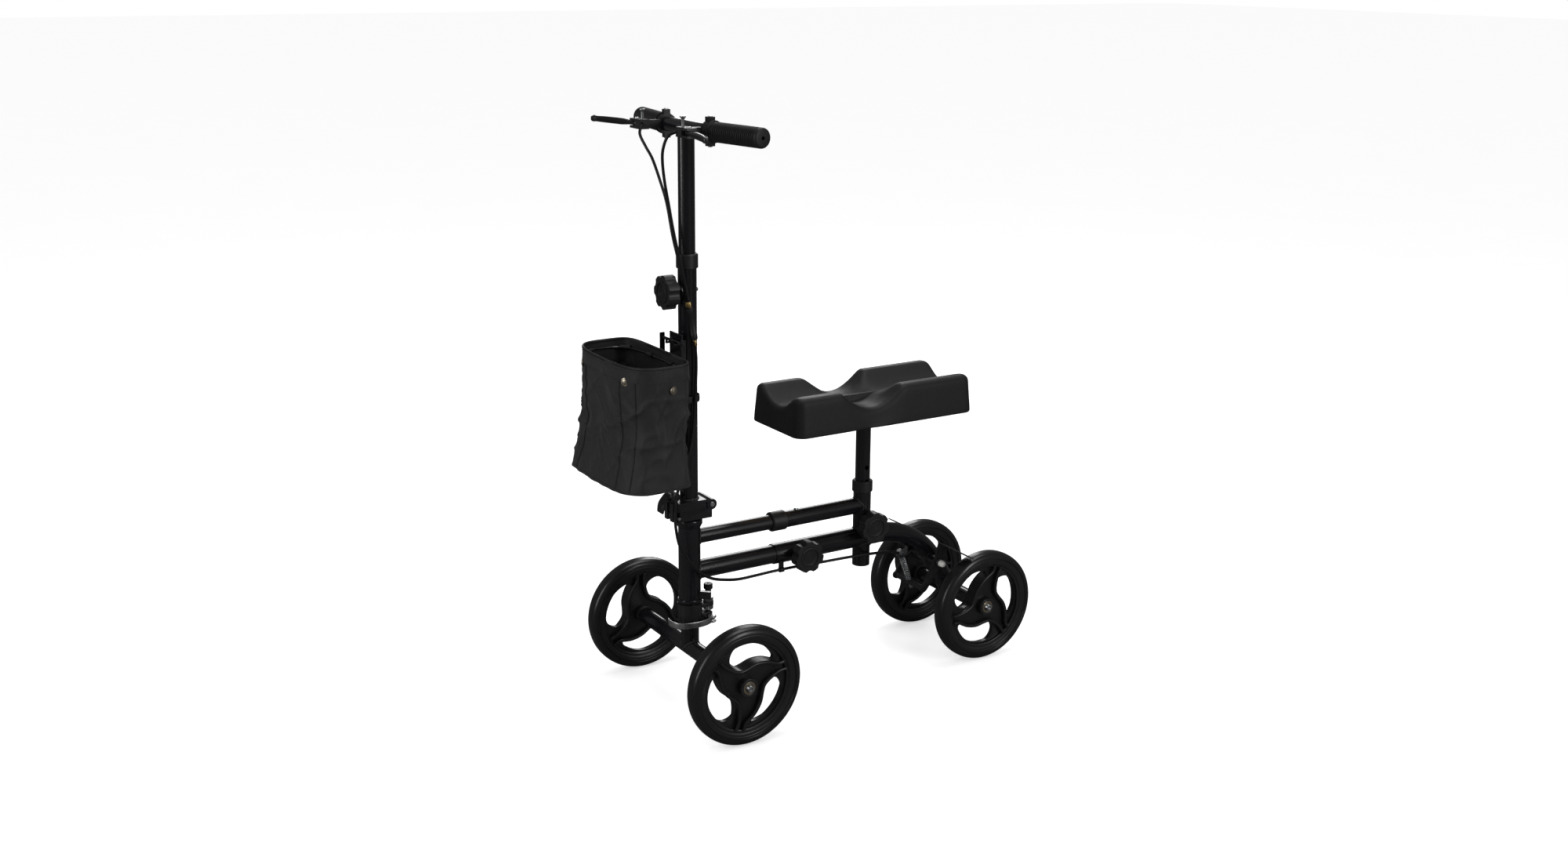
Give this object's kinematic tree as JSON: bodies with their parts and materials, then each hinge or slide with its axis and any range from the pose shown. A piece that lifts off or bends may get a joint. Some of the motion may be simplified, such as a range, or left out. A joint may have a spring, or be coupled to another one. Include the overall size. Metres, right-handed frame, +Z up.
{
  "type": "knee scooter",
  "caption": "Steerable folding knee scooter: padded knee rest on a height post, telescopic handlebar column, hand brakes on the rear wheels, lift-off fabric basket.",
  "frame": {"origin": "on the ground under the middle of the bounding box, on the scooter's middle plane", "axes": "+Z up, the scooter rolls forward along -Y, +X is the rider's left"},
  "size_m": [0.403, 0.811, 0.9856],
  "materials": {
    "black_paint": "gloss powder coat",
    "tyre_rubber": "solid moulded rubber, satin",
    "rim_plastic": "satin moulded nylon",
    "black_plastic": "moulded plastic",
    "zinc_steel": "bright zinc plate",
    "bearing_steel": "ground steel",
    "lever_aluminium": "brushed",
    "lever_black": "satin black anodised",
    "grip_rubber": "ribbed soft rubber",
    "cable_sheath": "smooth vinyl sheath",
    "pad_leather": "moulded polyurethane skin with a fine leather grain",
    "board_wood": "plain plywood",
    "bag_fabric": "woven polyester, charcoal",
    "snap_metal": "nickel plated"
  },
  "bodies": {
    "rear_frame": {"rear_upper_tube": "black_paint", "rear_lower_tube": "black_paint", "seat_tube": "black_paint", "rear_axle_beam": "black_paint", "frame_collars": "black_plastic", "upper_guide_screw": "zinc_steel", "rear_axle_bolts": "zinc_steel", "rear_bearings": "bearing_steel", "brake_pivot_bolt": "zinc_steel", "brake_adjuster": "zinc_steel", "brake_spring": "zinc_steel", "cable_frame": "cable_sheath"},
    "seat_knob": {"seat_knob": "black_plastic"},
    "frame_knob": {"frame_knob": "black_plastic"},
    "brake_rocker": {"brake_rocker": "black_paint"},
    "wheel_rear_left": {"tyre_rear_left": "tyre_rubber", "rim_rear_left": "rim_plastic"},
    "wheel_rear_right": {"tyre_rear_right": "tyre_rubber", "rim_rear_right": "rim_plastic"},
    "front_frame": {"front_upper_tube": "black_paint", "front_lower_tube": "black_paint", "head_tube": "black_paint", "head_cups": "black_paint"},
    "steering": {"steerer": "black_paint", "front_axle_beam": "black_paint", "steering_clamp": "black_paint", "clamp_bolt": "zinc_steel", "stop_screw": "zinc_steel", "fold_base": "black_paint", "fold_pin": "zinc_steel", "front_axle_bolts": "zinc_steel", "front_bearings": "bearing_steel"},
    "clamp_lever": {"clamp_lever": "lever_aluminium"},
    "wheel_front_left": {"tyre_front_left": "tyre_rubber", "rim_front_left": "rim_plastic"},
    "wheel_front_right": {"tyre_front_right": "tyre_rubber", "rim_front_right": "rim_plastic"},
    "column": {"column_tube": "black_paint", "column_hinge": "black_paint", "column_collar": "black_plastic", "column_guide_screw": "zinc_steel", "basket_bracket": "black_paint", "cable_column": "cable_sheath"},
    "column_knob": {"column_knob": "black_plastic"},
    "fold_bolt": {"fold_bolt": "zinc_steel"},
    "fold_lever": {"fold_lever": "black_plastic"},
    "basket": {"basket_frame": "black_paint", "basket_bag": "bag_fabric", "basket_snaps": "snap_metal"},
    "handlebar": {"handlebar": "black_paint", "grips": "grip_rubber", "lever_clamps": "lever_black", "cables_upper": "cable_sheath"},
    "brake_lever_left": {"brake_lever_left": "lever_black"},
    "brake_lever_right": {"brake_lever_right": "lever_black"},
    "lock_pin_left": {"lock_pin_left": "snap_metal"},
    "lock_pin_right": {"lock_pin_right": "snap_metal"},
    "seat": {"seat_post": "black_paint", "knee_pad": "pad_leather", "pad_board": "board_wood"}
  },
  "joints": [
    {"name": "frame_length", "type": "slide", "parent": "rear_frame", "child": "front_frame", "axis": [0, -1, 0], "range_m": [-0.03, 0.05]},
    {"name": "steering", "type": "hinge", "parent": "front_frame", "child": "steering", "pos_m": [0, -0.2355, 0.25], "axis": [0, 0, 1], "range_deg": [-35, 35], "deforming": ["cable_frame"]},
    {"name": "column_fold", "type": "hinge", "parent": "steering", "child": "column", "pos_m": [0, -0.2045, 0.352], "axis": [-1, 0, 0], "range_deg": [0, 40], "deforming": ["cable_column"]},
    {"name": "handlebar_height", "type": "slide", "parent": "column", "child": "handlebar", "axis": [0, 0, 1], "range_m": [-0.17, 0.03], "deforming": ["cables_upper"]},
    {"name": "brake_lever_left", "type": "hinge", "parent": "handlebar", "child": "brake_lever_left", "pos_m": [0.085, -0.2765, 0.962], "axis": [0, 0, 1], "range_deg": [0, 20], "stiffness_Nm_per_rad": 0.4, "springref_deg": -20.05},
    {"name": "brake_lever_right", "type": "hinge", "parent": "handlebar", "child": "brake_lever_right", "pos_m": [-0.085, -0.2765, 0.962], "axis": [0, 0, -1], "range_deg": [0, 20], "stiffness_Nm_per_rad": 0.4, "springref_deg": -20.05},
    {"name": "lock_pin_left", "type": "slide", "parent": "handlebar", "child": "lock_pin_left", "axis": [0, 0, -1], "range_m": [0, 0.004], "stiffness_N_per_m": 300, "springref_m": -0.004},
    {"name": "lock_pin_right", "type": "slide", "parent": "handlebar", "child": "lock_pin_right", "axis": [0, 0, -1], "range_m": [0, 0.004], "stiffness_N_per_m": 300, "springref_m": -0.004},
    {"name": "column_knob", "type": "hinge", "parent": "column", "child": "column_knob", "pos_m": [0, -0.2655, 0.707], "axis": [0, -1, 0], "range_deg": [0, 720]},
    {"name": "basket_lift", "type": "slide", "parent": "column", "child": "basket", "axis": [0, 0, 1], "range_m": [0, 0.03]},
    {"name": "fold_bolt", "type": "hinge", "parent": "column", "child": "fold_bolt", "pos_m": [0, -0.2655, 0.337], "axis": [1, 0, 0], "range_deg": [0, 60]},
    {"name": "fold_lever", "type": "hinge", "parent": "fold_bolt", "child": "fold_lever", "pos_m": [0, -0.2655, 0.3703], "axis": [-1, 0, 0], "range_deg": [0, 75]},
    {"name": "clamp_lever", "type": "hinge", "parent": "steering", "child": "clamp_lever", "pos_m": [0.018, -0.2035, 0.15], "axis": [0, 0, 1], "range_deg": [0, 55]},
    {"name": "wheel_front_left", "type": "hinge", "parent": "steering", "child": "wheel_front_left", "pos_m": [0.1795, -0.2355, 0.1], "axis": [1, 0, 0], "continuous": true},
    {"name": "wheel_front_right", "type": "hinge", "parent": "steering", "child": "wheel_front_right", "pos_m": [-0.1795, -0.2355, 0.1], "axis": [1, 0, 0], "continuous": true},
    {"name": "wheel_rear_left", "type": "hinge", "parent": "rear_frame", "child": "wheel_rear_left", "pos_m": [0.099, 0.3055, 0.1], "axis": [1, 0, 0], "continuous": true},
    {"name": "wheel_rear_right", "type": "hinge", "parent": "rear_frame", "child": "wheel_rear_right", "pos_m": [-0.099, 0.3055, 0.1], "axis": [1, 0, 0], "continuous": true},
    {"name": "seat_height", "type": "slide", "parent": "rear_frame", "child": "seat", "axis": [0, 0, 1], "range_m": [-0.05, 0.05]},
    {"name": "seat_knob", "type": "hinge", "parent": "rear_frame", "child": "seat_knob", "pos_m": [0.03, 0.1082, 0.262], "axis": [1, 0, 0], "range_deg": [0, 720]},
    {"name": "frame_knob", "type": "hinge", "parent": "rear_frame", "child": "frame_knob", "pos_m": [0.03, -0.0285, 0.2345], "axis": [1, 0, 0], "range_deg": [0, 720]},
    {"name": "brake_rocker", "type": "hinge", "parent": "rear_frame", "child": "brake_rocker", "pos_m": [0, 0.24731, 0.173], "axis": [-1, 0, 0], "range_deg": [0, 4], "deforming": ["brake_spring"]}
  ],
  "couplings": [
    {"joint": "brake_rocker", "follows": "brake_lever_left", "ratio": 0.2}
  ]
}
